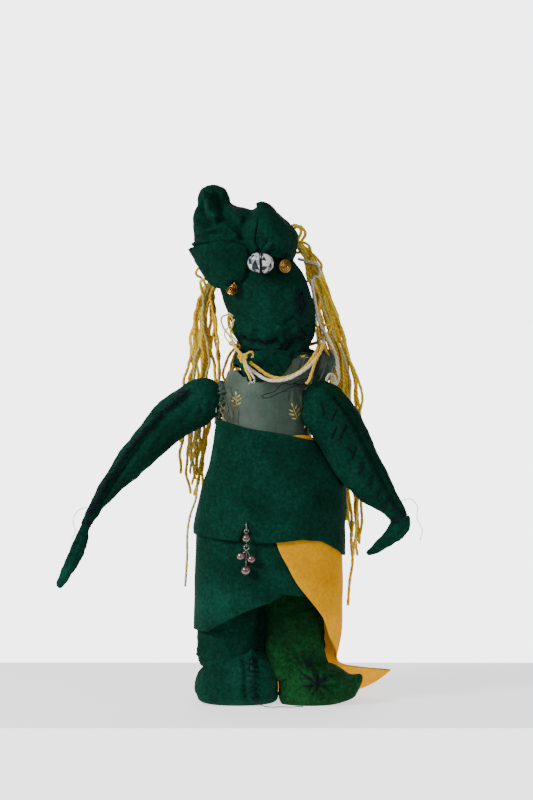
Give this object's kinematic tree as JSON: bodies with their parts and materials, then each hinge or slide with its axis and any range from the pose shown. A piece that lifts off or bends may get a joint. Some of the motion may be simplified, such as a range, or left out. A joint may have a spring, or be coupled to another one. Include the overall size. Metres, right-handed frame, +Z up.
{
  "type": "sock puppet",
  "caption": "Stuffed felt sock puppet: hollow body, turning head in a folded headdress, yarn hair, satin bodice, layered skirts with a floor train, hanging limbs and a beaded pendant",
  "frame": {"origin": "middle of the figure's bounding box seen from above, on the surface it stands on", "axes": "+Z up, along the figure's height; the face looks along -Y; +X is the puppet's own left, the viewer's right from the front"},
  "size_m": [0.2377, 0.1105, 0.3505],
  "materials": {
    "felt_green": "matte",
    "felt_moss": "matte",
    "felt_yellow": "matte",
    "satin": "satin",
    "yarn_gold": "matte",
    "yarn_cream": "matte",
    "filling": "matte",
    "brass": "satin",
    "crystal": "polished",
    "pearl": "gloss"
  },
  "bodies": {
    "torso": {"body_sock": "felt_green", "seat": "felt_green", "bodice": "satin", "collar": "felt_green", "shoulder_ruffle": "satin", "wrap_skirt": "felt_green", "under_skirt": "felt_green", "yellow_train": "felt_yellow", "necklace_yellow": "yarn_gold", "necklace_cream": "yarn_cream", "necklace_knot": "yarn_gold", "pendant_hook": "brass"},
    "neck": {"neck_felt": "felt_green", "neck_stuffing": "filling"},
    "head": {"head_felt": "felt_green", "head_stuffing": "filling", "brow_flap": "felt_green", "peak_fold": "felt_green", "crown_fold": "felt_green", "side_fold": "felt_green", "crystal": "crystal", "eye_button_right": "brass", "eye_ring_right": "brass", "eye_button_left": "brass", "eye_ring_left": "brass", "hair_right": "yarn_gold", "hair_left": "yarn_gold", "hair_back": "yarn_gold"},
    "shoulder_right": {"sleeve_cap_right": "satin"},
    "arm_right": {"arm_felt_right": "felt_green", "arm_stuffing_right": "filling"},
    "palm_right": {"hand_right": "felt_green"},
    "shoulder_left": {"sleeve_cap_left": "satin"},
    "arm_left": {"arm_felt_left": "felt_green", "arm_stuffing_left": "filling"},
    "palm_left": {"hand_left": "felt_green"},
    "leg_right": {"leg_felt_right": "felt_green", "leg_stuffing_right": "filling"},
    "foot_right": {"shoe_right": "felt_green", "shoe_stuffing_right": "filling"},
    "leg_left": {"leg_felt_left": "felt_moss", "leg_stuffing_left": "filling"},
    "foot_left": {"shoe_left": "felt_moss", "shoe_stuffing_left": "filling"},
    "pendant": {"pendant_stem": "brass", "pearl_top": "pearl"},
    "drops": {"drop_wires": "brass", "pearl_right": "pearl", "pearl_left": "pearl", "pearl_low": "pearl"}
  },
  "joints": [
    {"name": "neck_turn", "type": "hinge", "parent": "torso", "child": "neck", "pos_m": [0.0285, -0.0105, 0.252], "axis": [0, 0, 1], "range_deg": [-12, 12], "deforming": ["hair_right", "hair_left", "hair_back"]},
    {"name": "head_nod", "type": "hinge", "parent": "neck", "child": "head", "pos_m": [0.0285, -0.0105, 0.252], "axis": [1, 0, 0], "range_deg": [-3, 18], "deforming": ["hair_right", "hair_left", "hair_back"]},
    {"name": "shoulder_swing_right", "type": "hinge", "parent": "torso", "child": "shoulder_right", "pos_m": [-0.0245, -0.0095, 0.204], "axis": [-1, 0, 0], "range_deg": [-12, 70]},
    {"name": "arm_raise_right", "type": "hinge", "parent": "shoulder_right", "child": "arm_right", "pos_m": [-0.0245, -0.0095, 0.204], "axis": [0, 1, 0], "range_deg": [-25, 60]},
    {"name": "wrist_right", "type": "hinge", "parent": "arm_right", "child": "palm_right", "pos_m": [-0.0999, -0.0095, 0.1191], "axis": [-0.9678, 0, 0.2516], "range_deg": [-35, 35]},
    {"name": "shoulder_swing_left", "type": "hinge", "parent": "torso", "child": "shoulder_left", "pos_m": [0.0665, -0.0245, 0.204], "axis": [-1, 0, 0], "range_deg": [-4, 70]},
    {"name": "arm_raise_left", "type": "hinge", "parent": "shoulder_left", "child": "arm_left", "pos_m": [0.0665, -0.0245, 0.204], "axis": [0, -1, 0], "range_deg": [0, 70]},
    {"name": "wrist_left", "type": "hinge", "parent": "arm_left", "child": "palm_left", "pos_m": [0.114, -0.0255, 0.1248], "axis": [-0.6971, 0, 0.717], "range_deg": [-35, 35]},
    {"name": "hip_right", "type": "hinge", "parent": "torso", "child": "leg_right", "pos_m": [-0.001, -0.0155, 0.078], "axis": [-1, 0, 0], "range_deg": [-6, 12]},
    {"name": "ankle_right", "type": "hinge", "parent": "leg_right", "child": "foot_right", "pos_m": [-0.001, -0.0155, 0.043], "axis": [-1, 0, 0], "range_deg": [-8, 10]},
    {"name": "hip_left", "type": "hinge", "parent": "torso", "child": "leg_left", "pos_m": [0.0425, -0.0155, 0.078], "axis": [-1, 0, 0], "range_deg": [-6, 12]},
    {"name": "ankle_left", "type": "hinge", "parent": "leg_left", "child": "foot_left", "pos_m": [0.0425, -0.0155, 0.043], "axis": [-1, 0, 0], "range_deg": [-8, 10]},
    {"name": "pendant_swing", "type": "hinge", "parent": "torso", "child": "pendant", "pos_m": [0.0105, -0.0523, 0.1197], "axis": [0, 1, 0], "range_deg": [-25, 25]},
    {"name": "drops_swing", "type": "hinge", "parent": "pendant", "child": "drops", "pos_m": [0.0105, -0.0523, 0.1104], "axis": [-1, 0, 0], "range_deg": [0, 40]}
  ]
}
